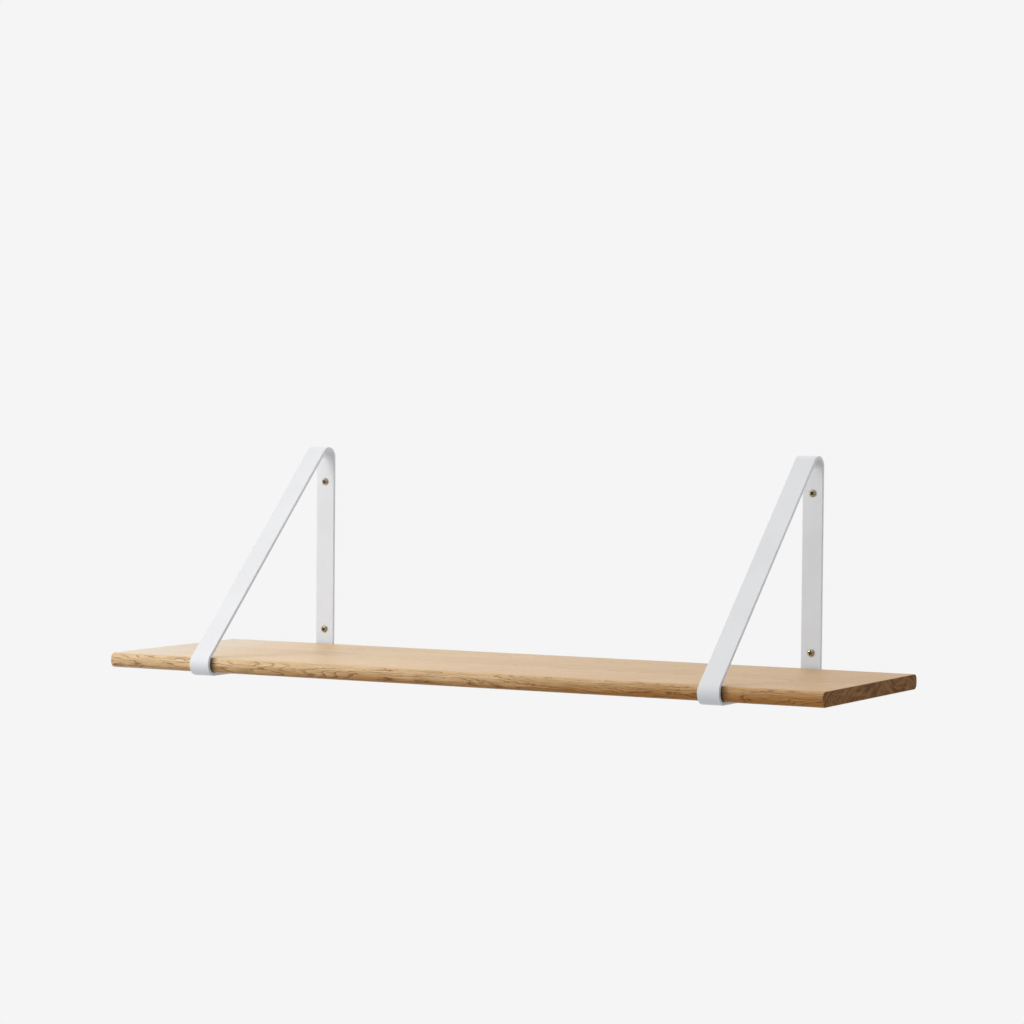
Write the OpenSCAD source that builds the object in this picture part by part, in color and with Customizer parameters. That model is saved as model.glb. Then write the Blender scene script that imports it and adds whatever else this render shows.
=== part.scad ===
// Wall shelf: a board of edge-glued oak staves that lies loose in two bent steel strap brackets.
// Millimetres. +X runs along the board, +Y into the wall, +Z up.
// The origin is the centre of the four wall screws, on the wall's surface.

/* [Board] */
// Length of the board
board_l = 950; // [750:10:1200]
// Depth of the board, from its front edge to its back edge
board_d = 280; // [220:5:320]
// Thickness of the board
board_t = 18; // [16:0.5:22]
// Radius of the four long edges
edge_r = 7; // [4:0.5:7.5]
// How many staves are glued side by side
stave_count = 5; // [3:1:8]

/* [Brackets] */
// Distance between the middles of the two brackets
bracket_span = 680; // [500:10:700]
// Height of a bracket
bracket_h = 275; // [260:1:320]
// Width of the steel strap
strap_w = 26; // [20:1:30]
// Thickness of the steel strap
strap_t = 4; // [3:0.5:5]
// Outer radius of the bend in front of the board
front_r = 14; // [13:0.5:16]
// Outer radius of the bend at the top
top_r = 16.5; // [12:0.5:20]
// Outer radius of the bend under the board's back edge
heel_r = 8; // [7:0.5:9]
// How far the front bend stands out past the board's front edge
front_reach = 7.5; // [7:0.5:9]
// Play between the board's back edge and the bracket
back_gap = 0.5; // [0.3:0.1:1]

/* [Wall screws] */
// Height from a bracket's lower screw to its upper screw
screw_span = 190; // [150:5:195]
// Height of the lower screws above the board's top
screw_rise = 18.5; // [15:0.5:25]
// Diameter of the plain shank
shank_d = 4.5; // [4:0.1:4.6]
// How much wider the shank is right under the head, where it tapers through the strap
neck_flare = 0.3; // [0.1:0.1:0.4]
// Diameter of the hole that a screw goes through
hole_d = 5; // [5:0.1:6]
// Diameter of the head
head_d = 9; // [8:0.5:11]
// Height of the head
head_h = 2.8; // [2.4:0.1:3.2]
// Length of a screw under its head
screw_l = 40; // [30:1:60]
// Length of the plain shank under the head
shank_l = 12; // [8:1:18]
// Rise of the thread in one turn
thread_pitch = 2; // [1.5:0.25:2.5]

/* [Hidden] */
$fn = 64;

oak = "#dcc39a";
white = "#f1f1f0";
zinc = "#c8b878";

// Levels and faces, from the screws outwards
board_top = -screw_rise - screw_span / 2;
board_back = -strap_t - back_gap;
board_front = board_back - board_d;
bracket_front = board_front - front_reach;
bracket_bottom = board_top - board_t - strap_t;
bracket_top = bracket_bottom + bracket_h;
stave_d = board_d / stave_count;
left = -bracket_span / 2;
right = bracket_span / 2;
upper = screw_span / 2;
lower = -screw_span / 2;

// Centres of the three bends, as [y, z]
front_bend = [bracket_front + front_r, bracket_bottom + front_r];
top_bend = [-top_r, bracket_top - top_r];
heel_bend = [-heel_r, bracket_bottom + heel_r];

// The sloping run of the strap is square to this angle
bend_step = top_bend - front_bend;
slope_angle = atan2(bend_step[1], bend_step[0]) + acos((front_r - top_r) / norm(bend_step));

// Screw details
neck_d = shank_d + neck_flare;
thread_core_r = shank_d / 2 - 0.7;
thread_crest_r = shank_d / 2 - 0.05;
point_l = 5;
head_rim_h = 1;
dome_h = head_h - head_rim_h;
dome_r = (head_d * head_d / 4 + dome_h * dome_h) / (2 * dome_h);
recess_w = 1.1;
recess_l = 5;
recess_deep = 1.7;
thread_turns = floor((screw_l - shank_l - point_l) / thread_pitch);

// A point at radius r and this angle from a centre
function around(centre, r, angle) = centre + r * [cos(angle), sin(angle)];

// Turns an outline in Y and Z into a bar along X
module bar_along_x(length) {
    rotate([90, 0, 90])
        linear_extrude(height = length, center = true)
            children();
}

// The board's cross-section, with its four long edges rounded
module board_outline() {
    translate([board_front + edge_r, board_top - board_t])
        square([board_d - 2 * edge_r, board_t]);
    translate([board_front, board_top - board_t + edge_r])
        square([board_d, board_t - 2 * edge_r]);
    for (y = [board_front + edge_r, board_back - edge_r])
        for (z = [board_top - edge_r, board_top - board_t + edge_r])
            translate([y, z])
                circle(r = edge_r);
}

// One stave of the board, counted from the front edge
module board_stave(number) {
    color(oak)
        bar_along_x(board_l)
            intersection() {
                board_outline();
                translate([board_front + (number - 1) * stave_d, board_top - board_t])
                    square([stave_d, board_t]);
            }
}

// The filled loop of the strap, moved inwards by inset
module strap_loop(inset, width) {
    bar_along_x(width)
        polygon([
            around(front_bend, front_r - inset, 270),
            around(front_bend, front_r - inset, slope_angle),
            around(top_bend, top_r - inset, slope_angle),
            around(top_bend, top_r - inset, 0),
            around(heel_bend, heel_r - inset, 0),
            around(heel_bend, heel_r - inset, 270)
        ]);
    for (bend = [[front_bend, front_r], [top_bend, top_r], [heel_bend, heel_r]])
        bar_along_x(width)
            translate(bend[0])
                circle(r = bend[1] - inset);
}

// One bracket: a flat strap bent into a loop, with two screw holes in its wall side
module bracket(x) {
    color(white)
        translate([x, 0, 0])
            difference() {
                strap_loop(0, strap_w);
                strap_loop(strap_t, strap_w + 2);
                for (z = [upper, lower])
                    translate([0, 1, z])
                        rotate([90, 0, 0])
                            cylinder(h = strap_t + 2, d = hole_d);
            }
}

// The round head, with a cross cut into its dome
module screw_head() {
    difference() {
        intersection() {
            translate([0, 0, -head_h])
                cylinder(h = head_h, d = head_d);
            translate([0, 0, dome_r - head_h])
                sphere(r = dome_r, $fn = 128);
        }
        for (turn = [0, 90])
            rotate([0, 0, turn])
                translate([-recess_l / 2, -recess_w / 2, -head_h - 1])
                    cube([recess_l, recess_w, recess_deep + 1]);
    }
}

// The neck inside the strap, the plain shank, the thread as a row of ridges, and the point
module screw_shank() {
    rotate_extrude()
        polygon([
            [0, -head_rim_h / 2],
            [neck_d / 2, -head_rim_h / 2],
            [neck_d / 2, 0],
            [shank_d / 2, strap_t],
            [shank_d / 2, shank_l],
            for (turn = [0:thread_turns - 1]) each [
                [thread_core_r, shank_l + turn * thread_pitch + 0.3],
                [thread_core_r, shank_l + (turn + 0.35) * thread_pitch],
                [thread_crest_r, shank_l + (turn + 0.6) * thread_pitch],
                [thread_crest_r, shank_l + (turn + 0.7) * thread_pitch]
            ],
            [thread_core_r, shank_l + thread_turns * thread_pitch],
            [0, screw_l]
        ]);
}

// One wall screw, driven through the strap at this place
module wall_screw(x, z) {
    color(zinc)
        translate([x, -strap_t, z])
            rotate([-90, 0, 0]) {
                screw_head();
                screw_shank();
            }
}

for (number = [1:stave_count])
    board_stave(number);
bracket(left);  // bracket_left
bracket(right);  // bracket_right
wall_screw(left, upper);  // wall_screw_left_upper
wall_screw(left, lower);  // wall_screw_left_lower
wall_screw(right, upper);  // wall_screw_right_upper
wall_screw(right, lower);  // wall_screw_right_lower
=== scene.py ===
"""A wall shelf: an oak board of five glued staves in two white steel strap brackets, on four wall screws.

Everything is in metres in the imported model's frame: +X along the board, +Y into the wall, +Z up.
"""

import math

import bmesh
import bpy
from mathutils import Matrix, Vector


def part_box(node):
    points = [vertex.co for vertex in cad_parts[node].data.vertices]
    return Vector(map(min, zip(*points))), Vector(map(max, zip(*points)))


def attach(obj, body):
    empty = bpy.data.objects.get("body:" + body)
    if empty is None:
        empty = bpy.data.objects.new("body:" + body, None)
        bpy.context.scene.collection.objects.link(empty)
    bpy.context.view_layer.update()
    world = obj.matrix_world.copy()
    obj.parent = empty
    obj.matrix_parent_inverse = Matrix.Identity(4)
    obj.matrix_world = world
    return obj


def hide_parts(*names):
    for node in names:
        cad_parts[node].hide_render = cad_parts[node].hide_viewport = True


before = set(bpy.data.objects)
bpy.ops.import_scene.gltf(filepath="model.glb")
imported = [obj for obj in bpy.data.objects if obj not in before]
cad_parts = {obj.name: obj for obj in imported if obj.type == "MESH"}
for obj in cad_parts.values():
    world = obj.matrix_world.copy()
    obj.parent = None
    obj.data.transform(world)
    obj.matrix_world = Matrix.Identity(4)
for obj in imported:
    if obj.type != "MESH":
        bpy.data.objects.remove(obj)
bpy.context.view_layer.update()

MM = 0.001
STAVES = ["board_stave_%d" % number for number in range(1, 6)]
BRACKETS = ["bracket_left", "bracket_right"]
LEVELS = ("upper", "lower")
SCREWS = ["wall_screw_%s_%s" % (side, level) for side in ("left", "right") for level in LEVELS]

# Sizes that a node's box doesn't give, as they are in the CAD model
STRAP_T = 4 * MM
FRONT_R = 14 * MM
TOP_R = 16.5 * MM
HEEL_R = 8 * MM
EDGE_R = 7 * MM
HOLE_R = 2.5 * MM
SHANK_R = 2.25 * MM
SHANK_L = 12 * MM
NECK_R = 2.4 * MM
HEAD_H = 2.8 * MM
RIM_H = 1.0 * MM
THREAD_PITCH = 2 * MM
POINT_L = 5 * MM


# ---------------------------------------------------------------- mesh helpers

SHARP_DEGREES = 40


def new_object(name, data):
    """An object of this mesh, camera or light, linked to the scene."""
    obj = bpy.data.objects.new(name, data)
    bpy.context.scene.collection.objects.link(obj)
    return obj


def mesh_object(name, vertices, faces):
    """A closed mesh with its normals outwards."""
    mesh = bpy.data.meshes.new(name)
    mesh.from_pydata(vertices, [], faces)
    work = bmesh.new()
    work.from_mesh(mesh)
    bmesh.ops.recalc_face_normals(work, faces=work.faces)
    work.to_mesh(mesh)
    work.free()
    return new_object(name, mesh)


def grid_faces(rows, columns, closed_rows=False):
    """Quads between neighbouring closed rings; closed_rows joins the last ring to the first."""
    faces = []
    for i in range(rows if closed_rows else rows - 1):
        for j in range(columns):
            a, b = i * columns, ((i + 1) % rows) * columns
            k = (j + 1) % columns
            faces.append((a + j, a + k, b + k, b + j))
    return faces


def apply_modifiers(obj):
    """Makes what the modifiers show the object's own mesh."""
    graph = bpy.context.evaluated_depsgraph_get()
    mesh = bpy.data.meshes.new_from_object(obj.evaluated_get(graph))
    obj.modifiers.clear()
    obj.data = mesh


def cut(obj, cutters):
    """Cuts these objects out of obj, and removes them."""
    for cutter in cutters:
        modifier = obj.modifiers.new("cut", "BOOLEAN")
        modifier.operation = "DIFFERENCE"
        modifier.solver = "EXACT"
        modifier.object = cutter
    apply_modifiers(obj)
    for cutter in cutters:
        bpy.data.objects.remove(cutter)


def smooth(obj):
    """Smooth shading whose normals follow the large faces, with hard edges above SHARP_DEGREES."""
    obj.data.shade_smooth()
    obj.data.set_sharp_from_angle(angle=math.radians(SHARP_DEGREES))
    modifier = obj.modifiers.new("weighted", "WEIGHTED_NORMAL")
    modifier.keep_sharp = True
    apply_modifiers(obj)


def arc(centre, radius, start, end, steps):
    """Points along an arc, as (a, b, angle in radians), with start and end in degrees."""
    points = []
    for i in range(steps + 1):
        angle = math.radians(start + (end - start) * i / steps)
        a, b = centre[0] + radius * math.cos(angle), centre[1] + radius * math.sin(angle)
        points.append((a, b, angle))
    return points


# ---------------------------------------------------------------- node helpers

class Graph:
    """Short calls for building a material's nodes."""

    def __init__(self, tree):
        self.tree = tree
        self.tree.nodes.clear()

    def node(self, kind, inputs=None, **settings):
        made = self.tree.nodes.new(kind)
        for name, value in settings.items():
            setattr(made, name, value)
        for name, value in (inputs or {}).items():
            self.feed(made.inputs[name], value)
        return made

    def feed(self, socket, value):
        if isinstance(value, bpy.types.NodeSocket):
            self.tree.links.new(value, socket)
        else:
            socket.default_value = value

    def math(self, operation, *values, clamp=False):
        made = self.node("ShaderNodeMath", operation=operation, use_clamp=clamp)
        for socket, value in zip(made.inputs, values):
            self.feed(socket, value)
        return made.outputs[0]

    def vector(self, operation, a, b=None):
        made = self.node("ShaderNodeVectorMath", {0: a}, operation=operation)
        if b is not None:
            self.feed(made.inputs[1], b)
        return made.outputs["Value" if operation == "LENGTH" else "Vector"]

    def join(self, x, y, z):
        return self.node("ShaderNodeCombineXYZ", {"X": x, "Y": y, "Z": z}).outputs[0]

    def split(self, vector):
        return self.node("ShaderNodeSeparateXYZ", {0: vector}).outputs

    def noise(self, vector, scale=1.0, detail=2.0, roughness=0.5, distortion=0.0):
        made = self.node("ShaderNodeTexNoise", {
            "Vector": vector, "Scale": scale, "Detail": detail,
            "Roughness": roughness, "Distortion": distortion})
        return made.outputs["Fac"]

    def window(self, value, low, high):
        """0 below low, 1 above high, and smooth between them."""
        made = self.node("ShaderNodeMapRange", {
            "Value": value, "From Min": low, "From Max": high}, interpolation_type="SMOOTHSTEP")
        return made.outputs["Result"]

    def ramp(self, value, stops):
        made = self.node("ShaderNodeValToRGB", {"Fac": value})
        elements = made.color_ramp.elements
        while len(elements) < len(stops):
            elements.new(0.5)
        for element, (place, colour) in zip(elements, stops):
            element.position = place
            element.color = (*colour, 1)
        return made.outputs["Color"]

    def mix(self, factor, a, b, blend="MIX"):
        made = self.node("ShaderNodeMix", data_type="RGBA", blend_type=blend)
        for place, value in ((0, factor), (6, a), (7, b)):
            if isinstance(value, tuple):
                value = (*value, 1)
            self.feed(made.inputs[place], value)
        return made.outputs[2]


def new_material(name):
    material = bpy.data.materials.new(name)
    material.use_nodes = True
    return material, Graph(material.node_tree)


def finish_material(graph, colour, roughness, height, bump_m, **constants):
    """Joins colour, roughness and a height map in metres to one Principled shader."""
    bump = graph.node("ShaderNodeBump", {"Height": height, "Distance": bump_m, "Strength": 1.0})
    shader = graph.node("ShaderNodeBsdfPrincipled", {
        "Base Color": colour, "Roughness": roughness, "Normal": bump.outputs[0]})
    for name, value in constants.items():
        shader.inputs[name.replace("_", " ")].default_value = value
    graph.node("ShaderNodeOutputMaterial", {"Surface": shader.outputs[0]})


# ---------------------------------------------------------------- materials

RING_GAP = 1.0 * MM
# Places in the frame over which a look comes in, from none to full: the figure below the top face, the
# painted sheen on the top face, and the brown band of partly painted shade along the front, full below the
# height given last
FIGURE_FADE_Z = (-0.1137, -0.1165)
SHEEN_FADE_Z = (-0.1147, -0.1137)
SHADE_BAND_FADE_Y = (-0.266, -0.279)
SHADE_BAND_FULL_Z = -0.1210
FAINT_FIGURE = 0.3
# Light, middle and dark wood
OAK_SHADES = ((0.83, 0.61, 0.364), (0.69, 0.465, 0.230), (0.25, 0.109, 0.028))
CONTACT_REACH = 10 * MM


def oak(name, pith, seed, tone=1.0, squash=1.0, figure=1.0, browning_and_shade=(0.0, 0.0), end_grain=False):
    """Oiled oak as a solid: growth rings round a pith line, with pores, rays and fibre.

    pith is the (y, z) of the ring centre in metres. squash flattens the rings in Z, and figure is their
    contrast. The pair after figure is how much browner the wood gets towards its right end, and how strong
    the band along the bottom of the front edge is, which is partly darker grain and partly painted shade.
    """
    material, g = new_material(name)
    place = g.node("ShaderNodeTexCoord").outputs["Object"]
    x, y, z = g.split(place)
    along = g.math("ADD", x, seed * 3.7)

    def stretched(lengthwise, across_y, across_z):
        """The place scaled along the grain and across it, so that noise draws streaks."""
        return g.join(g.math("MULTIPLY", along, lengthwise), g.math("MULTIPLY", y, across_y),
                      g.math("MULTIPLY", z, across_z))

    # The pith wanders along the stave, which draws flames where a face cuts the rings flat
    drift = g.noise(g.join(g.math("MULTIPLY", along, 3.4), 0.0, seed), 1.0, 1.0, 0.5)
    slope = g.noise(g.join(g.math("MULTIPLY", along, 4.5), 5.0, seed), 1.0, 1.0, 0.5)
    off_y = g.math("SUBTRACT", y, g.math("MULTIPLY_ADD", drift, 0.030, pith[0] - 0.015))
    off_z = g.math("SUBTRACT", z, g.math("MULTIPLY_ADD", slope, 0.020, pith[1] - 0.010))
    wave = g.noise(stretched(34.0, 90.0, 90.0), 1.0, 2.0, 0.5)
    jag = g.noise(stretched(110.0, 420.0, 420.0), 1.0, 2.0, 0.6)
    even_radius = g.vector("LENGTH", g.join(off_y, g.math("MULTIPLY", off_z, squash), 0.0))
    radius = g.math("MULTIPLY_ADD", wave, 0.0015 if end_grain else 0.0026, even_radius)
    radius = g.math("MULTIPLY_ADD", jag, 0.0004 if end_grain else 0.0010, radius)
    ring = g.math("FRACT", g.math("MULTIPLY", radius, 1 / RING_GAP))
    spin = g.math("ARCTAN2", off_z, off_y)

    # Early wood at the start of each ring is open and dark, late wood is dense
    early = g.math("SUBTRACT", 1.0, g.window(ring, 0.04, 0.44))
    early = g.math("MULTIPLY", early, g.window(ring, 0.0, 0.06))
    bold = g.join(g.math("MULTIPLY", along, 30.0), g.math("MULTIPLY", radius, 420.0), 7.0)
    bold = g.noise(bold, 1.0, 2.0, 0.5)
    early = g.math("MULTIPLY", early, g.math("MULTIPLY_ADD", g.window(bold, 0.36, 0.56), 0.75, 0.25))

    # Pores: short dark dashes along the grain, crowded in the early wood
    dashes = g.noise(stretched(110.0, 2600.0, 2600.0), 1.0, 1.0, 0.5)
    crowd = g.math("MULTIPLY_ADD", early, -0.12, 0.70)
    pores = g.window(g.math("SUBTRACT", dashes, crowd), 0.0, 0.05)

    # Fibre: soft streaks along the grain, and a slow drift of tone over the stave
    fibre = g.noise(stretched(16.0, 520.0, 520.0), 1.0, 4.0, 0.65)
    streak = g.window(g.noise(stretched(34.0, 640.0, 640.0), 1.0, 3.0, 0.6), 0.52, 0.72)
    cloud = g.noise(stretched(5.0, 26.0, 60.0), 1.0, 3.0, 0.5)

    # Rays: thin sheets that run outwards from the pith
    rays = g.noise(g.join(g.math("MULTIPLY", along, 70.0), g.math("MULTIPLY", spin, 150.0),
                          g.math("MULTIPLY", radius, 55.0)), 1.0, 1.0, 0.5)
    rays = g.window(rays, 0.66, 0.74)

    light, middle, dark = (tuple(part * tone for part in shade) for shade in OAK_SHADES)
    colour = g.mix(g.window(fibre, 0.32, 0.70), middle, light)
    colour = g.mix(g.math("MULTIPLY", g.window(cloud, 0.35, 0.70), 0.5), colour, middle)
    # The figure is faint on the top face and at the ends, as in the photo, and full on the other faces
    if end_grain:
        shown = FAINT_FIGURE * figure
    else:
        shown = g.math("MULTIPLY_ADD", g.window(z, *FIGURE_FADE_Z), figure - FAINT_FIGURE, FAINT_FIGURE)
    colour = g.mix(g.math("MULTIPLY", g.math("MULTIPLY", streak, 0.30), shown), colour, dark)
    colour = g.mix(g.math("MULTIPLY", g.math("MULTIPLY", early, 0.84), shown, clamp=True), colour, dark)
    colour = g.mix(g.math("MULTIPLY", rays, 0.35), colour, light)
    colour = g.mix(g.math("MULTIPLY", pores, 0.2 if end_grain else 0.55), colour, dark)
    if end_grain:
        # Open pores drink the oil, so the ends are dark, in patches that curve with the rings
        patch = g.join(g.math("MULTIPLY", spin, 2.5), g.math("MULTIPLY", even_radius, 190.0), seed)
        patch = g.window(g.noise(patch, 1.0, 2.0, 0.5), 0.32, 0.68)
        colour = g.mix(patch, g.mix(1.0, colour, (0.20, 0.117, 0.063), "MULTIPLY"),
                       g.mix(1.0, colour, (0.41, 0.285, 0.175), "MULTIPLY"))
    else:
        # Browner towards the right end, and darker in a ragged band low on the front edge and just under it:
        # that band is partly the wood's own darker grain and partly painted shade where the rounded edge
        # turns down
        rightwards = g.window(x, -0.55, 0.60)
        ragged = g.math("MULTIPLY_ADD", fibre, 0.010, g.math("MULTIPLY_ADD", wave, 0.006, z))
        spread = g.math("MULTIPLY_ADD", g.window(x, 0.0, 0.40), 0.0085, 0.0095)
        shade_band = g.math("DIVIDE", g.math("ADD", ragged, -SHADE_BAND_FULL_Z), spread)
        shade_band = g.math("SUBTRACT", 1.0, shade_band, clamp=True)
        fainter_left = g.math("MULTIPLY_ADD", g.window(x, -0.42, -0.20), 0.45, 0.55)
        shade_band = g.math("MULTIPLY", g.math("MULTIPLY", shade_band, fainter_left), g.window(y, *SHADE_BAND_FADE_Y))
        shade_band = g.math("MULTIPLY", shade_band, browning_and_shade[1])
        brown_and_shade = g.math("MULTIPLY_ADD", rightwards, browning_and_shade[0], shade_band, clamp=True)
        colour = g.mix(brown_and_shade, colour, (0.56, 0.335, 0.085), "MULTIPLY")

        # Painted sheen: the top face is paler towards its left end, where light from the left glances off it
        painted_sheen = g.math("MULTIPLY", g.window(x, -0.30, -0.46), g.window(z, *SHEEN_FADE_Z))
        colour = g.mix(g.math("MULTIPLY", painted_sheen, 0.55), colour, (0.70, 0.62, 0.515))

    # Painted shade: the wood is darkened where something lies close to it, as beside the front bends of the
    # straps
    open_air = g.node("ShaderNodeAmbientOcclusion", {"Distance": CONTACT_REACH}, samples=8).outputs["AO"]
    contact_shade = g.math("SUBTRACT", 1.0, g.window(open_air, 0.32, 0.88))
    colour = g.mix(contact_shade, colour, (0.30, 0.22, 0.15), "MULTIPLY")

    # The light that it throws on its neighbours is nearly neutral
    grey = g.node("ShaderNodeHueSaturation", {"Saturation": 0.25, "Value": 0.74, "Color": colour})
    diffuse_ray = g.node("ShaderNodeLightPath").outputs["Is Diffuse Ray"]
    colour = g.mix(diffuse_ray, colour, grey.outputs[0])

    height = g.math("SUBTRACT", g.math("MULTIPLY", fibre, 0.25), g.math("MULTIPLY", pores, 0.9))
    height = g.math("SUBTRACT", height, g.math("MULTIPLY", early, 0.15))
    roughness = g.math("MULTIPLY_ADD", fibre, 0.12, 0.70 if end_grain else 0.40)
    roughness = g.math("ADD", roughness, g.math("MULTIPLY", pores, 0.2))
    finish_material(g, colour, roughness, height, 0.12 * MM, Specular_IOR_Level=0.1 if end_grain else 0.35)
    return material


def powder_coat():
    """White powder coat: fine orange peel, a little unevenness in gloss and tone."""
    material, g = new_material("white_powder_coat")
    place = g.node("ShaderNodeTexCoord").outputs["Object"]
    peel = g.noise(place, 1500.0, 2.0, 0.55)
    swell = g.noise(place, 160.0, 2.0, 0.5)
    patch = g.noise(place, 14.0, 3.0, 0.55)
    colour = g.mix(g.window(patch, 0.3, 0.7), (0.838, 0.842, 0.854), (0.868, 0.872, 0.883))
    height = g.math("ADD", peel, g.math("MULTIPLY", swell, 1.6))
    roughness = g.math("MULTIPLY_ADD", peel, 0.12, 0.50)
    finish_material(g, colour, roughness, height, 0.04 * MM, Specular_IOR_Level=0.35)
    return material


# The plating's colours, as (level of the film's noise, colour)
ZINC_STOPS = [
    (0.30, (0.51, 0.46, 0.27)), (0.42, (0.68, 0.64, 0.44)), (0.52, (0.53, 0.45, 0.35)),
    (0.62, (0.53, 0.38, 0.33)), (0.75, (0.38, 0.33, 0.31))]
# How bright the plating's darker copy is, which paints the shade inside the screws' cross recesses
RECESS_SHADE_BRIGHTNESS = 0.16


def yellow_zinc(name, brightness):
    """Yellow zinc plating: a thin iridescent film on steel, dull and dark where dirt gathers."""
    material, g = new_material(name)
    place = g.node("ShaderNodeTexCoord").outputs["Object"]
    film = g.noise(place, 260.0, 3.0, 0.6, 0.8)
    grime = g.noise(place, 900.0, 3.0, 0.6)
    scratch = g.noise(g.vector("MULTIPLY", place, (4000.0, 700.0, 4000.0)), 1.0, 2.0, 0.6)
    stops = [(stop, tuple(part * brightness for part in shade)) for stop, shade in ZINC_STOPS]
    colour = g.ramp(film, stops)
    colour = g.mix(g.math("MULTIPLY", g.window(grime, 0.50, 0.75), 0.5), colour, (0.10, 0.07, 0.045))
    height = g.math("ADD", scratch, g.math("MULTIPLY", grime, 0.8))
    roughness = g.math("MULTIPLY_ADD", grime, 0.28, 0.27)
    finish_material(g, colour, roughness, height, 0.02 * MM, Metallic=1.0)
    return material


# ---------------------------------------------------------------- the board

END_ROUND = 0.5 * MM
EDGE_STEPS = 14
# In square metres: an end face is larger, and the slivers of its eased arris are smaller
END_AREA = 1e-4


def rounded_corner(y, z, start):
    """A quarter turn of the board's rounded edge about (y, z), as (y, z, normal y, normal z)."""
    corner = arc((y, z), EDGE_R, start, start + 90, EDGE_STEPS)
    return [(a, b, math.cos(angle), math.sin(angle)) for a, b, angle in corner]


def stave_profile(low, high, first, last):
    """One stave's outline, as (y, z, normal y, normal z), with no normal across a glue joint."""
    points = []
    if last:
        points += rounded_corner(high.y - EDGE_R, low.z + EDGE_R, -90)
        points += rounded_corner(high.y - EDGE_R, high.z - EDGE_R, 0)
    else:
        points += [(high.y, low.z, 0, -1), (high.y, high.z, 0, 1)]
    if first:
        points += rounded_corner(low.y + EDGE_R, high.z - EDGE_R, 90)
        points += rounded_corner(low.y + EDGE_R, low.z + EDGE_R, 180)
    else:
        points += [(low.y, high.z, 0, 1), (low.y, low.z, 0, -1)]
    return points


def stave(node, first, last):
    """A stave with its outer arrises eased at both ends."""
    low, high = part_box(node)
    profile = stave_profile(low, high, first, last)
    slices = []
    for degrees in (0, 30, 60, 90):
        turn = math.radians(degrees)
        slices.append((END_ROUND * (1 - math.sin(turn)), END_ROUND * (1 - math.cos(turn))))
    rings = [(low.x + back, inset) for back, inset in reversed(slices)]
    rings += [(high.x - back, inset) for back, inset in slices]
    vertices = []
    for x, inset in rings:
        for y, z, ny, nz in profile:
            vertices.append((x, y - ny * inset, z - nz * inset))
    count = len(profile)
    faces = grid_faces(len(rings), count)
    faces.append(tuple(range(count)))
    faces.append(tuple(range((len(rings) - 1) * count, len(rings) * count)))
    obj = mesh_object("oak_" + node[len("board_"):], vertices, faces)
    for face in obj.data.polygons:
        is_end = abs(face.normal.x) > 0.9 and face.area > END_AREA
        face.material_index = 1 if is_end else 0
    smooth(obj)
    return obj


def build_board():
    # For each stave, front to back: how far the pith lies from its middle (y, z), and its wood
    cuts = [
        ((0.016, -0.002), {"tone": 1.06, "squash": 2.2, "figure": 1.0, "browning_and_shade": (0.40, 0.75)}),
        ((0.024, -0.055), {"tone": 1.03, "figure": 0.5, "browning_and_shade": (0.34, 0.0)}),
        ((-0.020, 0.052), {"tone": 0.97, "figure": 0.6, "browning_and_shade": (0.36, 0.0)}),
        ((0.030, 0.060), {"tone": 1.02, "figure": 0.5, "browning_and_shade": (0.40, 0.0)}),
        ((-0.022, -0.050), {"tone": 0.99, "figure": 0.6, "browning_and_shade": (0.38, 0.0)}),
    ]
    for index, (node, (pith, looks)) in enumerate(zip(STAVES, cuts)):
        low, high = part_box(node)
        middle = (low + high) / 2
        centre = (middle.y + pith[0], middle.z + pith[1])
        obj = stave(node, index == 0, index == len(STAVES) - 1)
        seed = index + 1
        side = oak("oak_side_%d" % seed, centre, seed, **looks)
        obj.data.materials.append(side)
        end = oak("oak_end_%d" % seed, centre, seed, end_grain=True, **looks)
        obj.data.materials.append(end)
        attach(obj, "board")
        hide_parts(node)


# ---------------------------------------------------------------- the brackets

STRAP_ROUND = 0.7 * MM
BULGE_MOST = 0.9 * MM
BULGE_SHARE = 0.4
BULGE_EASE = 0.25
ROUND_STEPS = 6
BEND_STEPS = 32
HOLE_CHAMFER = 0.3 * MM
HOLE_SEGMENTS = 48


def bend(centre, radius, start, end, steps, width):
    """A bend's outer line as (y, z, angle of the outward normal, bulge).

    Bending squeezes the strap's inner side wider and draws its outer side narrower. The bulge is by how
    much, on each side, and it comes and goes over BULGE_EASE of the bend at either end.
    """
    most = min(BULGE_SHARE * width / 2 * STRAP_T / 2 / (radius - STRAP_T / 2), BULGE_MOST)
    points = []
    for i, (y, z, angle) in enumerate(arc(centre, radius, start, end, steps)):
        share = min(1.0, min(i, steps - i) / steps / BULGE_EASE)
        points.append((y, z, angle, most * share * share * (3 - 2 * share)))
    return points


def strap_path(low, high):
    """Once round the outside of the strap's loop, bend by bend."""
    width = high.x - low.x
    front = (low.y + FRONT_R, low.z + FRONT_R)
    top = (high.y - TOP_R, high.z - TOP_R)
    heel = (high.y - HEEL_R, low.z + HEEL_R)
    rise = Vector(top) - Vector(front)
    slope = math.degrees(math.atan2(rise.y, rise.x) + math.acos((FRONT_R - TOP_R) / rise.length))
    return (bend(front, FRONT_R, 270, slope, BEND_STEPS, width)
            + bend(top, TOP_R, slope, 0, BEND_STEPS, width)
            + bend(heel, HEEL_R, 0, -90, BEND_STEPS // 2, width))


def strap_section(width):
    """The strap's cross-section with rounded arrises, as (across, depth under the outer face)."""
    section = []
    for across, depth, start in ((1, 0, 270), (1, 1, 0), (-1, 1, 90), (-1, 0, 180)):
        below = STRAP_ROUND if depth == 0 else STRAP_T - STRAP_ROUND
        corner = arc((across * (width / 2 - STRAP_ROUND), below), STRAP_ROUND, start, start + 90, ROUND_STEPS)
        section += [(a, b) for a, b, _ in corner]
    return section


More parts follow.
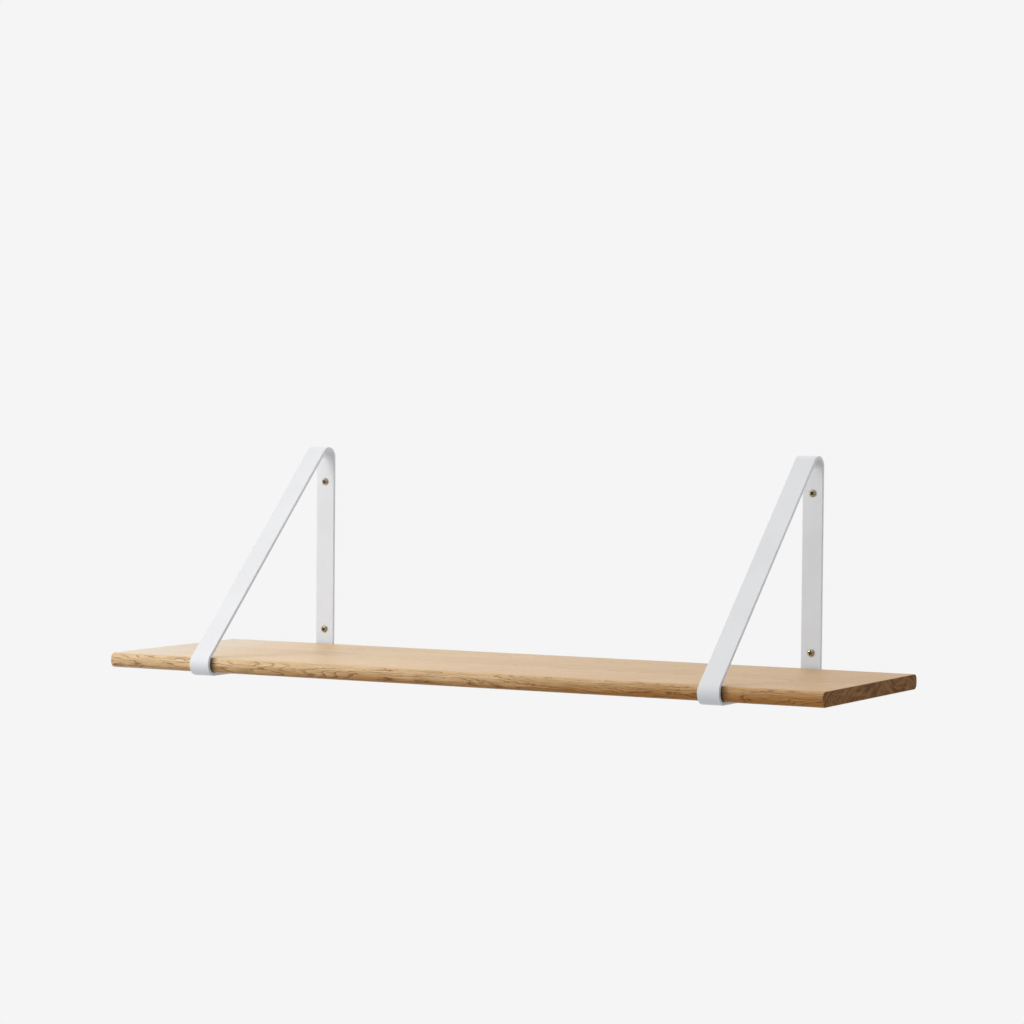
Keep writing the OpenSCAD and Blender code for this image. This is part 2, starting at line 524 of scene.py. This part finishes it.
def hole_cutter(x, z, face_y):
    """A lathe-turned cutter for one screw hole, with both rims chamfered."""
    margin = 1 * MM
    flare = HOLE_R + HOLE_CHAMFER + margin
    profile = [
        (face_y - margin, flare), (face_y + HOLE_CHAMFER, HOLE_R),
        (face_y + STRAP_T - HOLE_CHAMFER, HOLE_R), (face_y + STRAP_T + margin, flare),
    ]
    return lathe("hole", x, z, profile)


def lathe(name, x, z, profile):
    """A closed shape turned about a line along Y through (x, z), from (y, radius) pairs."""
    vertices = []
    for y, radius in profile:
        for i in range(HOLE_SEGMENTS):
            turn = 2 * math.pi * i / HOLE_SEGMENTS
            vertices.append((x + radius * math.cos(turn), y, z + radius * math.sin(turn)))
    faces = grid_faces(len(profile), HOLE_SEGMENTS)
    faces.append(tuple(range(HOLE_SEGMENTS)))
    faces.append(tuple(range((len(profile) - 1) * HOLE_SEGMENTS, len(profile) * HOLE_SEGMENTS)))
    return mesh_object(name, vertices, faces)


def strap(node):
    """One bracket: the strap swept round its loop, with two chamfered screw holes."""
    low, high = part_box(node)
    middle_x = (low.x + high.x) / 2
    path = strap_path(low, high)
    section = strap_section(high.x - low.x)
    vertices = []
    for y, z, angle, bulge in path:
        for across, depth in section:
            across += math.copysign(bulge * (2 * depth / STRAP_T - 1), across)
            inwards = (math.cos(angle) * depth, math.sin(angle) * depth)
            vertices.append((middle_x + across, y - inwards[0], z - inwards[1]))
    side = node[len("bracket_"):]
    obj = mesh_object("strap_" + side, vertices, grid_faces(len(path), len(section), closed_rows=True))
    cutters = []
    for level in LEVELS:
        screw_low, screw_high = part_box("wall_screw_%s_%s" % (side, level))
        cutters.append(hole_cutter(middle_x, (screw_low.z + screw_high.z) / 2, high.y - STRAP_T))
    cut(obj, cutters)
    smooth(obj)
    return obj


def build_brackets():
    coat = powder_coat()
    for node in BRACKETS:
        obj = strap(node)
        obj.data.materials.clear()
        obj.data.materials.append(coat)
        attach(obj, "brackets")
        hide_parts(node)


# ---------------------------------------------------------------- the screws

SCREW_SEGMENTS = 48
THREAD_ROWS = 12
CORE_R = SHANK_R - 0.7 * MM
CREST_R = SHANK_R - 0.05 * MM
DOME_STEPS = 14
RIM_EASE = 0.2 * MM
THREAD_START = 0.4 * MM
RIDGE_HALF = 0.24
POINT_SHARE = 0.08
# The cross recess at its mouth and its floor: depth behind the head's top, arm, half width
RECESS_MOUTH = (-0.5 * MM, 3.6 * MM, 1.05 * MM)
RECESS_FLOOR = (2.3 * MM, 1.3 * MM, 0.60 * MM)
# How far each screw's cross is turned, in the order of SCREWS
DRIVE_TURNS = (20, 65, 38, 8)


def screw_profile(low, high):
    """A screw's outline from head to point, as (y, radius, share of thread)."""
    head_r = (high.x - low.x) / 2
    under = low.y + HEAD_H
    dome_h = HEAD_H - RIM_H
    dome_r = (head_r ** 2 + dome_h ** 2) / (2 * dome_h)
    reach = math.asin(head_r / dome_r)
    points = []
    for i in range(1, DOME_STEPS + 1):
        turn = reach * i / DOME_STEPS
        points.append((low.y + dome_r * (1 - math.cos(turn)), dome_r * math.sin(turn), 0))
    corner = RIM_EASE * 0.3
    points += [(under - RIM_EASE, head_r, 0), (under - corner, head_r - corner, 0)]
    points += [(under, head_r - RIM_EASE, 0), (under, NECK_R, 0)]
    points += [(under + STRAP_T, SHANK_R, 0), (under + SHANK_L, SHANK_R, 0)]
    start, end = under + SHANK_L + THREAD_START, high.y
    rows = round((end - start) / THREAD_PITCH * THREAD_ROWS)
    for i in range(rows):
        y = start + (end - start) * i / rows
        taper = min(1.0, (end - y) / POINT_L)
        share = min(1.0, (y - start) / THREAD_PITCH) * taper ** 0.7
        points.append((y, CORE_R * (POINT_SHARE + (1 - POINT_SHARE) * taper), share))
    return points


def ridge(phase):
    """The thread's height over one pitch, from 0 to 1: a narrow ridge with a broad root."""
    return max(0.0, 1 - abs(phase % 1.0 - 0.5) / RIDGE_HALF)


def recess_cutter(head_y):
    """A cross about the Y axis that narrows with depth, for the drive in a head's dome."""
    vertices = []
    for depth, arm, half in (RECESS_MOUTH, RECESS_FLOOR):
        corners = [(half, arm), (half, half), (arm, half), (arm, -half), (half, -half), (half, -arm)]
        corners += [(-a, -b) for a, b in corners]
        vertices += [(a, head_y + depth, b) for a, b in corners]
    count = len(corners)
    faces = grid_faces(2, count)
    faces += [tuple(range(count)), tuple(range(count, 2 * count))]
    obj = mesh_object("recess", vertices, faces)
    # The recess's faces take the second material, the darker copy of the plating that paints their shade
    for face in obj.data.polygons:
        face.material_index = 1
    return obj


def screw(node, drive_turn, materials):
    """One wall screw with a domed head, a cross recess and a true helical thread."""
    low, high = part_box(node)
    x, z = (low.x + high.x) / 2, (low.z + high.z) / 2
    vertices = [(x, low.y, z)]
    profile = screw_profile(low, high)
    for y, radius, share in profile:
        for i in range(SCREW_SEGMENTS):
            turn = i / SCREW_SEGMENTS
            r = radius + share * (CREST_R - CORE_R) * ridge(y / THREAD_PITCH - turn)
            angle = 2 * math.pi * turn
            vertices.append((x + r * math.cos(angle), y, z + r * math.sin(angle)))
    vertices.append((x, high.y, z))
    count = SCREW_SEGMENTS
    faces = [tuple(1 + v for v in face) for face in grid_faces(len(profile), count)]
    last = len(vertices) - 1
    for i in range(count):
        k = (i + 1) % count
        faces.append((0, 1 + i, 1 + k))
        faces.append((last, last - count + i, last - count + k))
    obj = mesh_object(node.replace("wall_", ""), vertices, faces)
    for material in materials:
        obj.data.materials.append(material)
    cutter = recess_cutter(low.y)
    turn = Matrix.Rotation(math.radians(drive_turn), 4, "Y")
    cutter.data.transform(Matrix.Translation((x, 0, z)) @ turn)
    cut(obj, [cutter])
    smooth(obj)
    return obj


def build_screws():
    # The second material is a darker copy of the plating, which paints the shade inside the recesses
    materials = [yellow_zinc("yellow_zinc", 1.0), yellow_zinc("recess_shade_zinc", RECESS_SHADE_BRIGHTNESS)]
    for node, turn in zip(SCREWS, DRIVE_TURNS):
        obj = screw(node, turn, materials)
        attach(obj, "brackets")
        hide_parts(node)


# ---------------------------------------------------------------- the studio

BACKGROUND = (0.913, 0.913, 0.913)

CAMERA_PLACE = (1.8572, -3.5497, 0.2093)
CAMERA_HEADING, CAMERA_PITCH, CAMERA_ROLL = 28.476, -2.085, 0.490
LENS_MM = 113.7

# The room as the shelf sees it: the sides, the share that comes from below, above, and the wall
ROOM_LEFT, ROOM_RIGHT = (0.680, 0.690, 0.705), (0.22, 0.225, 0.24)
ROOM_BELOW, ROOM_ABOVE = (0.835, 0.85, 0.87), (0.80, 0.80, 0.80)
WALL_LEFT, WALL_RIGHT = (1.48, 1.48, 1.51), (0.92, 0.92, 0.92)

FLOOR_Z = -1.3
SHEET_REACH = 9


def build_camera():
    """A long lens, right of the shelf and a little above it, turned left and almost level."""
    data = bpy.data.cameras.new("camera")
    data.sensor_width = 36
    data.lens = LENS_MM
    data.clip_end = 50
    camera = new_object("camera", data)
    heading = Matrix.Rotation(math.radians(CAMERA_HEADING), 4, "Z")
    tilt = Matrix.Rotation(math.radians(90 + CAMERA_PITCH), 4, "X")
    roll = Matrix.Rotation(math.radians(CAMERA_ROLL), 4, "Z")
    camera.matrix_world = Matrix.Translation(CAMERA_PLACE) @ heading @ tilt @ roll
    bpy.context.scene.camera = camera


def area_light(name, place, target, size, power, colour):
    """A square soft light at place that faces target, with its power in watts."""
    data = bpy.data.lights.new(name, "AREA")
    data.shape = "SQUARE"
    data.size = size
    data.energy = power
    data.color = colour
    light = new_object(name, data)
    aim = (Vector(target) - Vector(place)).to_track_quat("-Z", "Y")
    light.matrix_world = Matrix.Translation(place) @ aim.to_matrix().to_4x4()


def build_world():
    """A pale room: the wall behind is bright, the right side is dimmer, and the camera sees one tone."""
    world = bpy.data.worlds.new("studio")
    bpy.context.scene.world = world
    world.use_nodes = True
    g = Graph(world.node_tree)
    x, y, z = g.split(g.node("ShaderNodeTexCoord").outputs["Generated"])
    tint = g.mix(g.window(x, -0.8, 0.9), ROOM_LEFT, ROOM_RIGHT)
    tint = g.mix(g.window(z, -0.9, 0.8), g.mix(1.0, tint, ROOM_BELOW, "MULTIPLY"), tint)
    tint = g.mix(g.window(z, 0.4, 1.0), tint, ROOM_ABOVE)
    wall = g.mix(g.window(x, -0.62, -0.34), WALL_LEFT, WALL_RIGHT)
    tint = g.mix(g.window(y, 0.0, 0.35), tint, wall)
    lit = g.node("ShaderNodeBackground", {"Color": tint, "Strength": 1.0})
    seen = g.node("ShaderNodeBackground", {"Color": (*BACKGROUND, 1), "Strength": 1.0})
    camera_ray = g.node("ShaderNodeLightPath").outputs["Is Camera Ray"]
    both = g.node("ShaderNodeMixShader", {0: camera_ray, 1: lit.outputs[0], 2: seen.outputs[0]})
    g.node("ShaderNodeOutputWorld", {"Surface": both.outputs[0]})


def backdrop(name, corners):
    """A plain pale sheet that only the camera sees, and only from its front."""
    sheet = mesh_object(name, corners, [(0, 1, 2, 3)])
    material, g = new_material(name)
    pale = g.node("ShaderNodeEmission", {"Color": (*BACKGROUND, 1), "Strength": 1.0})
    clear = g.node("ShaderNodeBsdfTransparent")
    behind = g.node("ShaderNodeNewGeometry").outputs["Backfacing"]
    surface = g.node("ShaderNodeMixShader", {0: behind, 1: pale.outputs[0], 2: clear.outputs[0]})
    g.node("ShaderNodeOutputMaterial", {"Surface": surface.outputs[0]})
    sheet.data.materials.append(material)
    sheet.visible_diffuse = False
    sheet.visible_glossy = False
    sheet.visible_transmission = False
    sheet.visible_shadow = False


def build_backdrops():
    """The floor far below the shelf, and the wall, which hides the screws' shanks from the front."""
    square = [(a * SHEET_REACH, b * SHEET_REACH) for a, b in ((-1, -1), (1, -1), (1, 1), (-1, 1))]
    backdrop("floor", [(a, b, FLOOR_Z) for a, b in square])
    backdrop("wall", [(a, wall_face_y(), b) for a, b in square])


def wall_face_y():
    """Just behind the brackets' back faces, where the wall's surface is."""
    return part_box("bracket_left")[1].y + 0.05 * MM


build_board()
build_brackets()
build_screws()
build_camera()
build_world()
build_backdrops()
area_light("key", (-1.9, -2.0, 0.9), (0, -0.15, 0), 1.2, 37, (1.0, 0.985, 0.965))
bpy.context.scene.view_settings.view_transform = "Standard"
